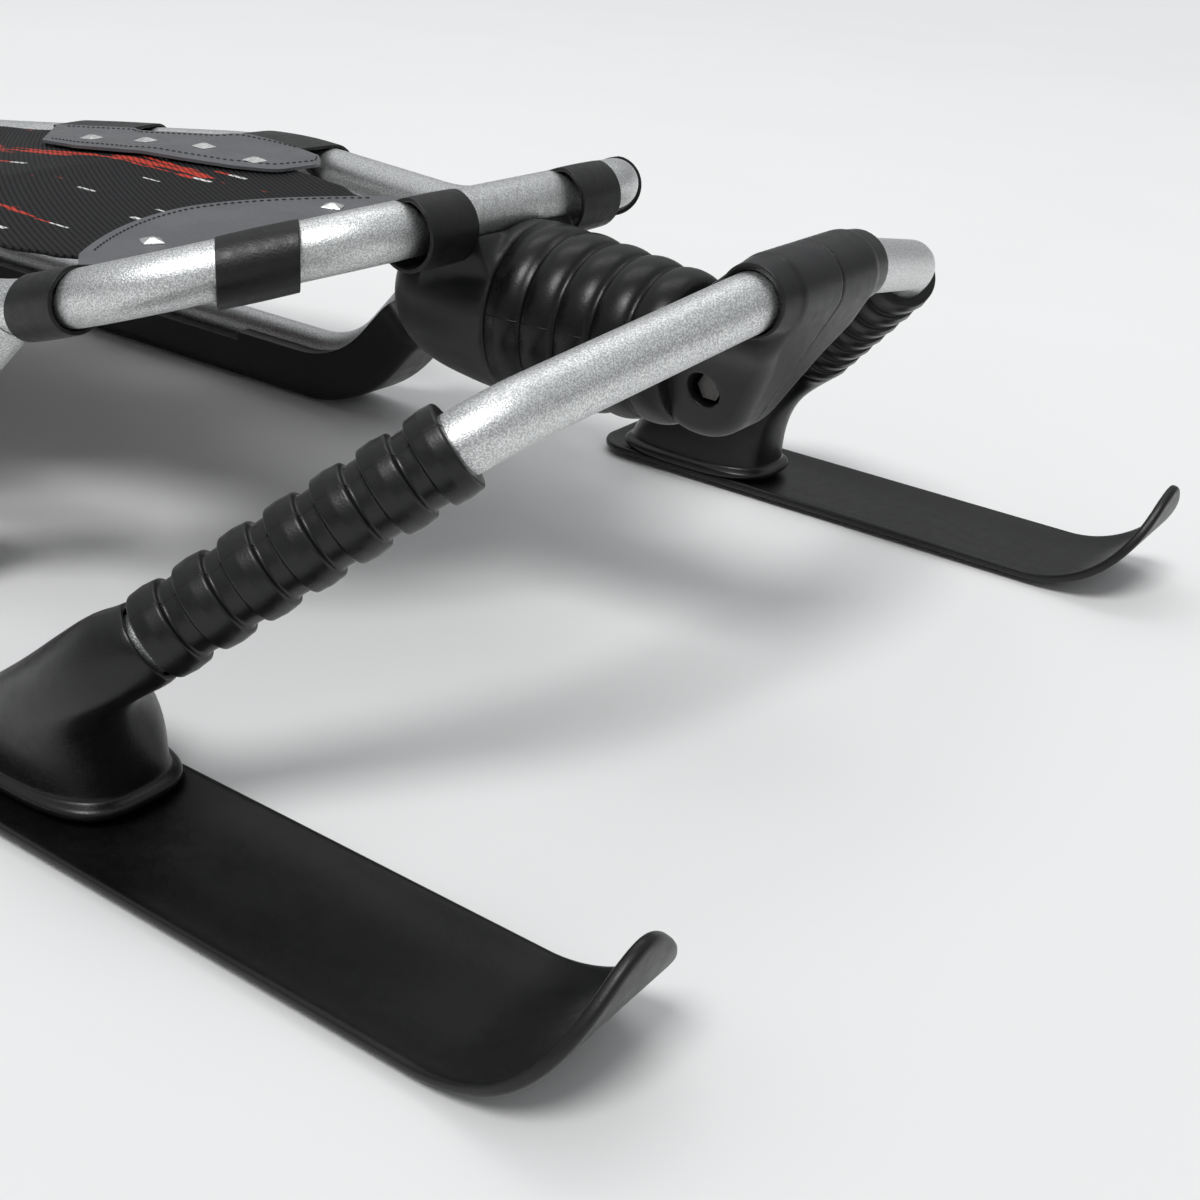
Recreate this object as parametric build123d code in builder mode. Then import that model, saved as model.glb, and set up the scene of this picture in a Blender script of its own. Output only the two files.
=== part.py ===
"""Steerable prone snow sled: a bent aluminium tube frame with a laced mesh deck on two rear
runners, and a steering bar with ribbed grips and rubber boots on two front skis.

Frame: +X forward, +Y to the sled's left, +Z up; the origin is the centre of the footprint on
the snow.  All sizes are in millimetres.
"""
import os
from math import cos, hypot, radians, sin, tan

from build123d import *

os.makedirs("parts", exist_ok=True)

# ---------------------------------------------------------------- stock and clearances
tube_d = 25.0                # outer diameter of the frame tube
tube_r = tube_d / 2
seat_gap = 0.3               # clearance between a round face and what wraps it
vinyl = 2.2                  # thickness of the panels and straps
mesh_thickness = 3.0

# ---------------------------------------------------------------- deck loop, left half
crossbar_x = 378.5           # the straight front crossbar
crossbar_z = 202.0
hoop_corner_y = 92.0         # where the crossbar's straight run would meet its first bend
shoulder = (310.5, 165.0, 178.0)
chest_front = (226.0, 163.0, 150.0)
chest = (35.0, 199.0, 150.5)
waist = (-230.0, 150.0, 125.0)
hip = (-520.0, 168.0, 94.0)
rear_bar_x = -633.0
rear_bar_z = 88.0
rear_corner_y = 150.0
hoop_bend_r = 45.0
shoulder_bend_r = 60.0
chest_front_bend_r = 150.0
chest_bend_r = 260.0
waist_bend_r = 420.0
hip_bend_r = 300.0
rear_bend_r = 62.0
splice_front_x = 268.0       # the hoops join the side rails at these stations
splice_rear_x = -470.0

# ---------------------------------------------------------------- rear runners
runner_y = 180.0
runner_tube_z = 30.0
runner_front_corner_x = 122.5
runner_rise = 48.0           # slope of the runner tubes up to the rails, in degrees
runner_bend_r = 80.0
runner_lean_run = 12.0       # past the shoe, the tube leans inward after this much
runner_lean_r = 60.0
runner_front_seat = (230.5, 163.5, 151.0)
runner_rear_corner_x = -528.0
runner_rear_bend_r = 45.0
runner_rear_seat = (-590.0, 157.0, 90.0)
shoe_width = 46.0
shoe_wall_rise = 3.0         # the shoe's side walls stop this far above the tube's middle
shoe_step = 6.0              # and this much lower behind the step
shoe_step_x = 29.0
shoe_front_z = 82.0
shoe_rear_x = -522.0
shoe_edge_r = 7.0
shoe_heel_r = 10.0
shoe_toe_r = 12.0
cross_tube_x = -470.0
cross_tube_z = 36.0
cross_tube_r = 8.5

# ---------------------------------------------------------------- neck housing and bellows
neck_z = 158.0               # height of the neck's axis
housing_rear_x = 325.0
housing_front_x = 400.0
housing_r = 41.0
housing_tail_run = 46.0      # the rounded tail reaches nearly full size after this run
saddle_half = 36.0
saddle_reach = 20.0          # how far the saddle reaches to the rear of the crossbar's middle
saddle_wrap = 6.0            # the saddle's top stays this far below the crossbar's middle
saddle_blend_r = 9.0
bellows_bite = 15.5          # the bellows runs this far over the clamp's lobe
bellows_r_rear = 42.0
bellows_r_front = 31.5
bellows_ribs = 5
bellows_groove = 4.0

# ---------------------------------------------------------------- steering bar, grips, clamp
bar_x = 537.5
bar_z = 199.5
bar_rake = 44.0              # slope of the plane that the bar lies in, down to the rear
bar_first_bend_y = 40.0      # just inside the clamp's collars
bar_knee = (38.0, 172.0)     # second bend: down the rake, and out from the middle
bar_end = (172.0, 262.4)
bar_first_bend_r = 90.0
bar_knee_bend_r = 50.0
grip_start = 14.0            # from the knee, where the tube is straight again
grip_length = 131.0
grip_rings = 7
grip_ring_r = 18.0
grip_groove_r = 15.6
grip_ring_width = 12.8
grip_ring_chamfer = 1.6
neck_gap = 2.5               # bare tube between the grip and the boot
clamp_half = 46.0            # to the ends of the collars
clamp_wall = 4.8
clamp_body_half = 39.0       # the body between the collars
clamp_lobe_x = 500.0
clamp_lobe_z = 152.0
clamp_lobe_r = 27.5
clamp_shoulder_z = 184.0     # the cheeks taper inward below this height
clamp_waist = [(31.0, 168.0), (22.5, 150.0)]    # half width at two heights
clamp_foot_half = 13.0
clamp_cheek_r = 9.0
collar_end_r = 15.2          # the collars taper from the body's radius to this
collar_taper = 17.0
collar_lip_r = 13.7
collar_lip_depth = 1.6
bolt_x = 506.0
bolt_z = 150.0
bolt_recess_r = 8.0
bolt_seat = 11.0             # half the grip between the two bolt heads
bolt_shank_r = 4.0
bolt_head_r = 6.5
bolt_head = 5.0

# ---------------------------------------------------------------- front skis and boots
ski_y = 256.0
ski_width = 76.0
ski_flat_half = 24.0
ski_rear_x = 288.5
ski_flat_end_x = 575.0
ski_thickness = 4.0
ski_edge_rise = 8.0
ski_curl_r = 72.0
ski_curl_angle = 72.0
ski_tip_run = 15.0           # straight past the curl
ski_rear_corner_r = 22.0
ski_tip = [(34.5, 18.5), (28.8, 34.0), (20.0, 51.5), (10.5, 62.0)]  # half width at four heights
ski_tip_flare = 2.0          # the tip's outline starts this far outside the edges
ski_tip_margin = 1.8         # and ends this far above the end of the sole
boot_front_x = 415.0
boot_length = 112.0
boot_width = 64.0
boot_seat_z = 10.0
boot_rim = 7.0
boot_rim_lip = 2.5           # the rim stands out this far from the boot's wall
boot_corner_r = 24.0
boot_hood = (41.0, 411.0, 84.0, 57.0, 25.0)  # a section's height, front, length, width, corner
boot_neck_run = 18.0         # the neck runs straight for this far below its mouth
boot_neck_r = 20.0
boot_shoulder_r = 21.0

# ---------------------------------------------------------------- deck
deck_rise = 11.5             # the straps hold the mesh level with the tops of the tubes
deck_front_drop = (11.5, 7.0, 2.5)    # but lower than that towards the crossbar
deck_knee = (292.0, 174.0)
deck_bend_r = 60.0
deck_half = 220.0
panel_inset = 25.0           # from the middle of a tube to the edge of a panel
mesh_lap = 22.0              # the panels overlap the mesh by this much
strap_width = 34.0
side_strap_width = 66.0
strap_reach = 30.0
strap_tuck = 0.5             # the pinched flap leaves the loop this far under its outer skin
crossbar_strap_y = 56.0
diagonal_strap_x = (345.0, 262.0)
yoke_middle_x = 150.0        # rear edge of the front panel, on the middle line
yoke_flank = (174.0, 62.0)
yoke_corner = (200.0, 108.0)
chest_strap_x = (55.0, -126.0)
hip_strap_x = (-335.0, -470.0)
chest_panel_inner_y = 117.0
hip_panel_inner_y = 92.0
rear_strap_y = 76.0
rear_panel_depth = 60.0
rear_panel_half = (112.0, 92.0)


# ---------------------------------------------------------------- helpers
def mirrored(points):
    return [(x, -y, z) for x, y, z in points]


def across(vector):
    """The same vector on the other side of the sled."""
    return Vector(vector.X, -vector.Y, vector.Z)


def bent_tube(points, radii, radius=tube_r):
    """A round bar swept along straight runs with tangent bends."""
    with BuildPart() as body:
        with BuildLine() as path:
            FilletPolyline(*points, radius=radii)
        with BuildSketch(Plane(origin=path.line @ 0, z_dir=path.line % 0)):
            Circle(radius)
        sweep(path=path.line)
    return body.part


def largest(part):
    """The main solid, without the offcut that a coped end leaves inside the other tube."""
    return part.solids().sort_by(SortBy.VOLUME)[-1]


def finish(item, label):
    item.label = label
    export_step(item, f"parts/{label}.step")


# ---------------------------------------------------------------- deck loop
loop_points = [
    (crossbar_x, 0, crossbar_z), (crossbar_x, hoop_corner_y, crossbar_z), shoulder, chest_front,
    chest, waist, hip, (rear_bar_x, rear_corner_y, rear_bar_z), (rear_bar_x, 0, rear_bar_z),
]
loop_radii = [
    hoop_bend_r, shoulder_bend_r, chest_front_bend_r, chest_bend_r, waist_bend_r, hip_bend_r,
    rear_bend_r,
]
loop_left = bent_tube(loop_points, loop_radii)
loop_right = bent_tube(mirrored(loop_points), loop_radii)
with BuildPart() as loop_room:
    add(bent_tube(loop_points, loop_radii, tube_r + seat_gap))
    add(bent_tube(mirrored(loop_points), loop_radii, tube_r + seat_gap))

with BuildPart() as loop_skin:
    add(bent_tube(loop_points, loop_radii, tube_r + seat_gap + vinyl))
    add(bent_tube(mirrored(loop_points), loop_radii, tube_r + seat_gap + vinyl))

for side, half_loop in (("left", loop_left), ("right", loop_right)):
    with BuildPart() as side_rail:
        add(half_loop)
        split(bisect_by=Plane.YZ.offset(splice_front_x), keep=Keep.BOTTOM)
        split(bisect_by=Plane.YZ.offset(splice_rear_x), keep=Keep.TOP)
    finish(side_rail.part, f"side_rail_{side}")

with BuildPart() as front_hoop:
    add(loop_left)
    add(loop_right)
    split(bisect_by=Plane.YZ.offset(splice_front_x), keep=Keep.TOP)
finish(front_hoop.part, "front_hoop")

with BuildPart() as rear_hoop:
    add(loop_left)
    add(loop_right)
    split(bisect_by=Plane.YZ.offset(splice_rear_x), keep=Keep.BOTTOM)
finish(rear_hoop.part, "rear_hoop")

# ---------------------------------------------------------------- rear runners
rise = tan(radians(runner_rise))
shoe_front_x = runner_front_corner_x + (shoe_front_z - runner_tube_z) / rise
lean_x = shoe_front_x + runner_lean_run
runner_points = [
    runner_rear_seat,
    (runner_rear_corner_x, runner_y, runner_tube_z),
    (runner_front_corner_x, runner_y, runner_tube_z),
    (lean_x, runner_y, runner_tube_z + (lean_x - runner_front_corner_x) * rise),
    runner_front_seat,
]
runner_radii = [runner_rear_bend_r, runner_bend_r, runner_lean_r]
for side, points in (("left", runner_points), ("right", mirrored(runner_points))):
    with BuildPart() as runner_tube:
        add(bent_tube(points, runner_radii))
        add(loop_room.part, mode=Mode.SUBTRACT)
    finish(largest(runner_tube.part), f"runner_tube_{side}")

shoe_wall = runner_tube_z + shoe_wall_rise
for side, sign in (("left", 1), ("right", -1)):
    with BuildPart() as shoe:
        with BuildLine(Plane.XZ.offset(-sign * runner_y)) as sole:
            FilletPolyline(
                (shoe_rear_x, runner_tube_z), (runner_front_corner_x, runner_tube_z),
                (shoe_front_x, shoe_front_z), radius=runner_bend_r,
            )
        with BuildSketch(Plane(origin=sole.line @ 0, x_dir=(0, 1, 0), z_dir=(1, 0, 0))) as channel:
            with Locations((0, shoe_wall_rise)):
                Rectangle(shoe_width, shoe_wall, align=(Align.CENTER, Align.MAX))
            fillet(channel.vertices().group_by(Axis.Y)[0], shoe_edge_r)
            Circle(tube_r + seat_gap, mode=Mode.SUBTRACT)
        sweep(path=sole.line)
        with Locations((shoe_step_x, sign * runner_y, shoe_wall)):
            Box(shoe_step_x - shoe_rear_x, shoe_width, 2 * shoe_step,
                align=(Align.MAX, Align.CENTER, Align.CENTER), mode=Mode.SUBTRACT)
        fillet(shoe.edges().filter_by(Axis.Z).group_by(Axis.X)[0], shoe_heel_r)
        toe = shoe.faces().sort_by(Axis.X)[-1].edges()
        fillet(toe.filter_by(Axis.Y).sort_by(Axis.X)[-1], shoe_toe_r)
    finish(shoe.part, f"runner_shoe_{side}")

with BuildPart() as cross_tube:
    with BuildSketch(Plane.XZ.offset(-runner_y)):
        with Locations((cross_tube_x, cross_tube_z)):
            Circle(cross_tube_r)
    extrude(amount=2 * runner_y)
    for points in (runner_points, mirrored(runner_points)):
        add(bent_tube(points, runner_radii, tube_r + seat_gap), mode=Mode.SUBTRACT)
finish(largest(cross_tube.part), "rear_cross_tube")


# ---------------------------------------------------------------- steering bar and grips
def on_rake(down, out):
    """A point of the bar's plane: down the rake from the middle, and out to the side."""
    return (bar_x - down * cos(radians(bar_rake)), out, bar_z - down * sin(radians(bar_rake)))


bar_half = [on_rake(0, bar_first_bend_y), on_rake(*bar_knee), on_rake(*bar_end)]
bar_points = mirrored(reversed(bar_half)) + bar_half
bar_radii = [bar_knee_bend_r, bar_first_bend_r, bar_first_bend_r, bar_knee_bend_r]
bar_room = bent_tube(bar_points, bar_radii, tube_r + seat_gap)
finish(bent_tube(bar_points, bar_radii), "steering_bar")

knee = Vector(*on_rake(*bar_knee))
bar_direction = (Vector(*on_rake(*bar_end)) - knee).normalized()
rake_normal = Vector(sin(radians(bar_rake)), 0, -cos(radians(bar_rake)))
grip_top = knee + bar_direction * grip_start
neck_mouth = knee + bar_direction * (grip_start + grip_length + neck_gap)

bore_r = tube_r + seat_gap
ring_pitch = (grip_length - grip_ring_width) / (grip_rings - 1)
grip_profile = [(0, bore_r)]
for ring in range(grip_rings):
    start = ring * ring_pitch
    end = start + grip_ring_width
    grip_profile += [
        (start, grip_groove_r), (start + grip_ring_chamfer, grip_ring_r),
        (end - grip_ring_chamfer, grip_ring_r), (end, grip_groove_r),
    ]
grip_profile.append((grip_length, bore_r))
for side in ("left", "right"):
    top = grip_top if side == "left" else across(grip_top)
    along = bar_direction if side == "left" else across(bar_direction)
    with BuildPart() as grip:
        with BuildSketch(Plane(origin=top, x_dir=along, z_dir=rake_normal)):
            with BuildLine():
                Polyline(*grip_profile, close=True)
            make_face()
        revolve(axis=Axis(top, along))
    finish(grip.part, f"grip_{side}")


# ---------------------------------------------------------------- clamp in two halves
def clamp_form(clearance=0.0):
    """The clamp's body: a hull round the bar and a lobe below it, with tapering cheeks."""
    foot_z = clamp_lobe_z - clamp_lobe_r - clearance
    top_z = bar_z + tube_r + clamp_wall + clearance
    half = clamp_body_half + clearance
    with BuildPart() as body:
        with BuildSketch(Plane.XZ.offset(-half)):
            with BuildLine():
                CenterArc((bar_x, bar_z), tube_r + clamp_wall + clearance, 0, 360)
                CenterArc((clamp_lobe_x, clamp_lobe_z), clamp_lobe_r + clearance, 0, 360)
            make_hull()
        extrude(amount=2 * half)
        with BuildSketch(Plane.YZ.offset(bar_x - 3 * clamp_lobe_r)):
            with BuildLine():
                cheek = Spline(
                    (half, clamp_shoulder_z), *[(y + clearance, z) for y, z in clamp_waist],
                    (clamp_foot_half + clearance, foot_z), tangents=((0, -1), (-0.4, -1)),
                )
                Polyline(cheek @ 0, (half, top_z), (0, top_z))
                Line(cheek @ 1, (0, foot_z))
                mirror(about=Plane.YZ)
            make_face()
        extrude(amount=6 * clamp_lobe_r, mode=Mode.INTERSECT)
    return body.part


with BuildPart() as clamp_body:
    add(clamp_form())
    cheek_edges = clamp_body.edges().filter_by(
        lambda edge: abs(edge.center().Y) > clamp_foot_half - clamp_cheek_r / 2)
    fillet(cheek_edges, clamp_cheek_r)
    with BuildSketch(Plane(origin=(bar_x, 0, bar_z), x_dir=(0, 1, 0), z_dir=(1, 0, 0))):
        with BuildLine():
            Polyline((0, 0), (clamp_half, 0), (clamp_half, collar_end_r),
                     (clamp_half - collar_taper, tube_r + clamp_wall - seat_gap),
                     (0, tube_r + clamp_wall - seat_gap))
            mirror(about=Plane.YZ)
        make_face()
    revolve(axis=Axis((bar_x, 0, bar_z), (0, 1, 0)))
    add(bar_room, mode=Mode.SUBTRACT)
    for end in (-1, 1):
        with BuildSketch(Plane.XZ.offset(-end * clamp_half)):
            with Locations((bar_x, bar_z)):
                Circle(collar_lip_r)
        extrude(amount=end * collar_lip_depth, mode=Mode.SUBTRACT)
        with BuildSketch(Plane.XZ.offset(-end * bolt_seat)):
            with Locations((bolt_x, bolt_z)):
                Circle(bolt_recess_r)
        extrude(amount=-end * clamp_half, mode=Mode.SUBTRACT)
    with BuildSketch(Plane.XZ.offset(-bolt_seat)):
        with Locations((bolt_x, bolt_z)):
            Circle(bolt_shank_r + seat_gap)
    extrude(amount=2 * bolt_seat, mode=Mode.SUBTRACT)
for side, keep in (("left", Keep.BOTTOM), ("right", Keep.TOP)):
    with BuildPart() as clamp_side:
        add(clamp_body.part)
        split(bisect_by=Plane.XZ, keep=keep)
    finish(clamp_side.part, f"clamp_{side}")

with BuildPart() as clamp_bolt:
    with BuildSketch(Plane.XZ.offset(-bolt_seat)):
        with Locations((bolt_x, bolt_z)):
            Circle(bolt_shank_r)
    extrude(amount=2 * bolt_seat)
    for end in (-1, 1):
        with BuildSketch(Plane.XZ.offset(-end * bolt_seat)):
            with Locations((bolt_x, bolt_z)):
                RegularPolygon(bolt_head_r, 6)
        extrude(amount=-end * bolt_head)
finish(clamp_bolt.part, "clamp_bolt")

# ---------------------------------------------------------------- neck housing and bellows
neck_axis = Axis((0, 0, neck_z), (1, 0, 0))
with BuildPart() as neck_housing:
    with BuildSketch(Plane.XZ):
        with BuildLine():
            tail = Spline(
                (housing_rear_x, neck_z), (housing_rear_x + housing_tail_run, neck_z + housing_r - 2),
                (housing_front_x, neck_z + housing_r), tangents=((0, 1), (1, 0)),
            )
            Polyline(tail @ 1, (housing_front_x, neck_z), (housing_rear_x, neck_z))
        make_face()
    revolve(axis=neck_axis)
    with BuildSketch(Plane.XZ.offset(-saddle_half)):
        Polygon(
            (crossbar_x - saddle_reach, neck_z), (crossbar_x - saddle_reach, crossbar_z - saddle_wrap),
            (crossbar_x + tube_r, crossbar_z - saddle_wrap), (housing_front_x, neck_z + housing_r / 2),
            (housing_front_x, neck_z), align=None,
        )
    extrude(amount=2 * saddle_half)
    with BuildSketch(Plane.XZ.offset(-clamp_half)):
        with Locations((crossbar_x, crossbar_z)):
            Circle(bore_r)
    extrude(amount=2 * clamp_half, mode=Mode.SUBTRACT)
finish(neck_housing.part, "neck_housing")

bellows_front_x = clamp_lobe_x - clamp_lobe_r + bellows_bite
rib_pitch = (bellows_front_x - housing_front_x) / bellows_ribs
with BuildPart() as bellows:
    with BuildSketch(Plane.XZ):
        with BuildLine():
            for rib in range(bellows_ribs):
                taper = (rib + 0.5) / bellows_ribs
                crest = neck_z + bellows_r_rear + (bellows_r_front - bellows_r_rear) * taper
                rear = housing_front_x + rib * rib_pitch
                ThreePointArc(
                    (rear, crest - bellows_groove), (rear + rib_pitch / 2, crest),
                    (rear + rib_pitch, crest - bellows_groove),
                )
                next_crest = crest + (bellows_r_front - bellows_r_rear) / bellows_ribs
                last = rib == bellows_ribs - 1
                Line((rear + rib_pitch, crest - bellows_groove),
                     (rear + rib_pitch, neck_z if last else next_crest - bellows_groove))
            first_crest = neck_z + bellows_r_rear + (bellows_r_front - bellows_r_rear) / bellows_ribs / 2
            Polyline((bellows_front_x, neck_z), (housing_front_x, neck_z),
                     (housing_front_x, first_crest - bellows_groove))
        make_face()
    revolve(axis=neck_axis)
    add(clamp_form(seat_gap), mode=Mode.SUBTRACT)
finish(largest(bellows.part), "bellows")

# ---------------------------------------------------------------- front skis
edge_half = ski_width / 2
for side, sign in (("left", 1), ("right", -1)):
    with BuildPart() as ski:
        with BuildLine(Plane.XZ.offset(-sign * ski_y)) as keel:
            flat = Line((ski_rear_x, 0), (ski_flat_end_x, 0))
            curl = JernArc(flat @ 1, flat % 1, ski_curl_r, ski_curl_angle)
            end = Line(curl @ 1, (curl @ 1) + (curl % 1) * ski_tip_run)
        with BuildSketch(Plane(origin=keel.line @ 0, x_dir=(0, 1, 0), z_dir=(1, 0, 0))):
            with BuildLine():
                bottom = Line((-ski_flat_half, 0), (ski_flat_half, 0))
                under = TangentArc(bottom @ 1, (edge_half, ski_edge_rise - ski_thickness),
                                   tangent=(1, 0))
                rim = Line(under @ 1, (edge_half - 1, ski_edge_rise))
                inner = TangentArc((ski_flat_half, ski_thickness), rim @ 1, tangent=(1, 0))
                Line(inner @ 0, (-ski_flat_half, ski_thickness))
                mirror([under, rim, inner], about=Plane.YZ)
            make_face()
        sweep(path=keel.line)
        with BuildSketch() as plan:
            with Locations((ski_rear_x, sign * ski_y)):
                Rectangle(2 * ski_flat_end_x, ski_width, align=(Align.MIN, Align.CENTER))
            fillet(plan.vertices().group_by(Axis.X)[0], ski_rear_corner_r)
        extrude(amount=crossbar_z, mode=Mode.INTERSECT)
        tip_z = (end @ 1).Z + ski_tip_margin
        with BuildSketch(Plane(origin=(ski_rear_x, sign * ski_y, 0), x_dir=(0, 1, 0),
                               z_dir=(1, 0, 0))):
            with BuildLine():
                foot = (edge_half + ski_tip_flare, 0)
                half = Spline(foot, *ski_tip, (0, tip_z), tangents=((0, 1), (-1, 0)))
                mirror(half, about=Plane.YZ)
                Line(foot, (-foot[0], 0))
            make_face()
        extrude(amount=2 * ski_flat_end_x, mode=Mode.INTERSECT)
    finish(ski.part, f"ski_{side}")

# ---------------------------------------------------------------- boots
boot_wall_z = boot_seat_z + boot_rim
boot_foot = (boot_wall_z, boot_front_x - boot_rim_lip, boot_length - 2 * boot_rim_lip,
             boot_width - 2 * boot_rim_lip, boot_corner_r - boot_rim_lip)
for side, sign in (("left", 1), ("right", -1)):
    mouth = neck_mouth if sign == 1 else across(neck_mouth)
    along = bar_direction if sign == 1 else across(bar_direction)
    level = Vector(-along.Y, along.X, 0)
    with BuildPart() as boot:
        for height, front, length, width, corner in (boot_foot, boot_hood):
            with BuildSketch(Plane.XY.offset(height)):
                with Locations((front - length / 2, sign * ski_y)):
                    RectangleRounded(length, width, corner)
        shoulder_plane = Plane(origin=mouth + along * boot_neck_run, x_dir=level, z_dir=-along)
        with BuildSketch(shoulder_plane):
            RectangleRounded(2 * boot_shoulder_r, 2 * boot_shoulder_r, boot_shoulder_r - 1)
        loft()
        with BuildSketch(Plane(origin=mouth, x_dir=level, z_dir=along)):
            Circle(boot_neck_r)
        extrude(amount=boot_neck_run + boot_rim)
        with BuildSketch(Plane.XY.offset(boot_seat_z)):
            with Locations((boot_front_x - boot_length / 2, sign * ski_y)):
                RectangleRounded(boot_length, boot_width, boot_corner_r)
        extrude(amount=boot_rim)
        with BuildSketch(Plane.XY.offset(ski_thickness)):
            with Locations((boot_front_x - boot_length / 2, sign * ski_y)):
                RectangleRounded(boot_length - boot_corner_r, 2 * ski_flat_half,
                                 boot_corner_r / 2)
        extrude(amount=boot_seat_z - ski_thickness)
        add(bar_room, mode=Mode.SUBTRACT)
    finish(largest(boot.part), f"boot_{side}")

# ---------------------------------------------------------------- mesh deck
panel_front_x = crossbar_x - panel_inset
panel_rear_x = rear_bar_x + panel_inset
deck_path = [
    (panel_front_x, crossbar_z), deck_knee, (chest_front[0], chest_front[2]),
    (chest[0], chest[2]), (waist[0], waist[2]), (hip[0], hip[2]), (panel_rear_x, rear_bar_z),
]
deck_lifts = [deck_rise - drop for drop in deck_front_drop]
deck_lifts += [deck_rise] * (len(deck_path) - len(deck_lifts))
with BuildLine(Plane.XZ) as deck_line:
    FilletPolyline(*[(x, z + lift) for (x, z), lift in zip(deck_path, deck_lifts)],
                   radius=deck_bend_r)
with BuildLine() as rail_line:
    FilletPolyline(*loop_points, radius=loop_radii)


def station(x, line):
    """Point and direction of a line that runs rearwards, where it passes a station."""
    front, rear = 0.0, 1.0
    for _ in range(40):
        middle = (front + rear) / 2
        if (line @ middle).X > x:
            front = middle
        else:
            rear = middle
    return line @ front, line % front


def beside_rail(x, inset):
    """A plan point this far inside the left rail."""
    centre, along = station(x, rail_line.line)
    flat = hypot(along.X, along.Y)
    return (centre.X - along.Y / flat * inset, centre.Y + along.X / flat * inset)


def both_sides(points):
    """An outline that is the same left and right, from its left half."""
    return points + [(x, -y) for x, y in reversed(points)]


def deck_layer(low, high):
    """A wide strip between two heights above the deck's middle line."""
    with BuildPart() as layer:
        start = Plane(origin=deck_line.line @ 0, x_dir=(0, -1, 0), z_dir=deck_line.line % 0)
        with BuildSketch(start):
            with Locations((0, (low + high) / 2)):
                Rectangle(deck_half * 2, high - low)
        sweep(path=deck_line.line)
    return layer.part


mesh_top = mesh_thickness / 2
mesh_outline = [
    (yoke_middle_x + mesh_lap, 0),
    (yoke_corner[0] + mesh_lap - 14, yoke_corner[1] - 22),
    (yoke_corner[0], yoke_corner[1] + 8),
    (yoke_middle_x, yoke_corner[1] + 8),
    (chest_strap_x[0] + side_strap_width / 2, chest_panel_inner_y + mesh_lap - 4),
    (chest_strap_x[0] - side_strap_width / 2, chest_panel_inner_y + mesh_lap + 16),
    (chest_strap_x[1] + side_strap_width / 2, chest_panel_inner_y + mesh_lap + 4),
    (chest_strap_x[1] - side_strap_width / 2, chest_panel_inner_y + mesh_lap - 8),
    (waist[0], waist[1] - 38),
    (hip_strap_x[0], waist[1] - 36),
    (hip_strap_x[1], waist[1] - 28),
    (panel_rear_x + 14, rear_panel_half[0]),
]
with BuildPart() as mesh_deck:
    add(deck_layer(-mesh_top, mesh_top))
    with BuildSketch() as plan:
        with BuildLine():
            Polyline(*both_sides(mesh_outline[1:]), close=True)
        make_face()
        with BuildLine():
            arc = ThreePointArc(mesh_outline[1], mesh_outline[0],
                                (mesh_outline[1][0], -mesh_outline[1][1]))
            Line(arc @ 0, arc @ 1)
        make_face(mode=Mode.SUBTRACT)
    extrude(amount=2 * crossbar_z, mode=Mode.INTERSECT)
finish(mesh_deck.part, "mesh_deck")


# ---------------------------------------------------------------- vinyl panels and straps
def strap(centre, along, inward, width):
    """A loop round a tube, pinched together where it meets its panel."""
    inward = Vector(*inward).normalized()
    tip = strap_reach - vinyl
    deck_height = station(centre.X + inward.X * tip, deck_line.line)[0].Z
    lift = deck_height + mesh_top + vinyl / 2 - centre.Z
    with BuildPart() as loop:
        with BuildSketch(Plane(origin=centre, x_dir=inward, z_dir=along)):
            with BuildLine():
                CenterArc((0, 0), bore_r + vinyl - strap_tuck, 0, 360)
                CenterArc((tip, lift), vinyl, 0, 360)
            make_hull()
            with BuildSketch(mode=Mode.PRIVATE) as room:
                with BuildLine():
                    CenterArc((0, 0), tube_r - strap_tuck, 0, 360)
                    CenterArc((tip - 3 * vinyl, lift - vinyl), vinyl / 4, 0, 360)
                make_hull()
            add(room.sketch, mode=Mode.SUBTRACT)
        extrude(amount=width / 2, both=True)
    with BuildPart() as turn:
        add(loop_skin.part)
        with BuildSketch(Plane(origin=centre, x_dir=inward, z_dir=along)):
            Circle(tube_d)
        extrude(amount=width / 2, both=True, mode=Mode.INTERSECT)
    with BuildPart() as whole:
        add(loop.part)
        add(turn.part)
    return whole.part


def rail_strap(x, sign, width):
    """A strap square to a side rail."""
    centre, along = station(x, rail_line.line)
    return strap(Vector(centre.X, sign * centre.Y, centre.Z),
                 Vector(along.X, sign * along.Y, along.Z) * sign,
                 (-along.Y, sign * along.X, 0), width)


def panel(outline, straps, label, bow=None):
    """A vinyl panel on the mesh with its straps, as one piece; one edge may bow outward."""
    with BuildPart() as plate:
        add(deck_layer(mesh_top, mesh_top + vinyl))
        with BuildSketch():
            with BuildLine():
                Polyline(*outline, close=True)
            make_face()
            if bow:
                with BuildLine():
                    arc = Spline(*bow)
                    Line(arc @ 0, arc @ 1)
                make_face()
        extrude(amount=2 * crossbar_z, mode=Mode.INTERSECT)
        for item in straps:
            add(item)
        add(loop_room.part, mode=Mode.SUBTRACT)
    finish(plate.part, label)


front_straps = [
    strap(Vector(crossbar_x, sign * crossbar_strap_y, crossbar_z), (0, 1, 0), (-1, 0, 0),
          strap_width)
    for sign in (-1, 1)
]
front_straps += [rail_strap(x, sign, strap_width) for x in diagonal_strap_x for sign in (-1, 1)]
yoke_outer = [(panel_front_x, crossbar_strap_y + strap_width / 2)]
yoke_outer += [beside_rail(x, panel_inset) for x in (348, 328, 298, 270, 246)]
panel(
    both_sides(yoke_outer + [yoke_corner]), front_straps, "front_panel",
    bow=[yoke_corner, yoke_flank, (yoke_middle_x, 0), (yoke_flank[0], -yoke_flank[1]),
         (yoke_corner[0], -yoke_corner[1])],
)

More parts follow.
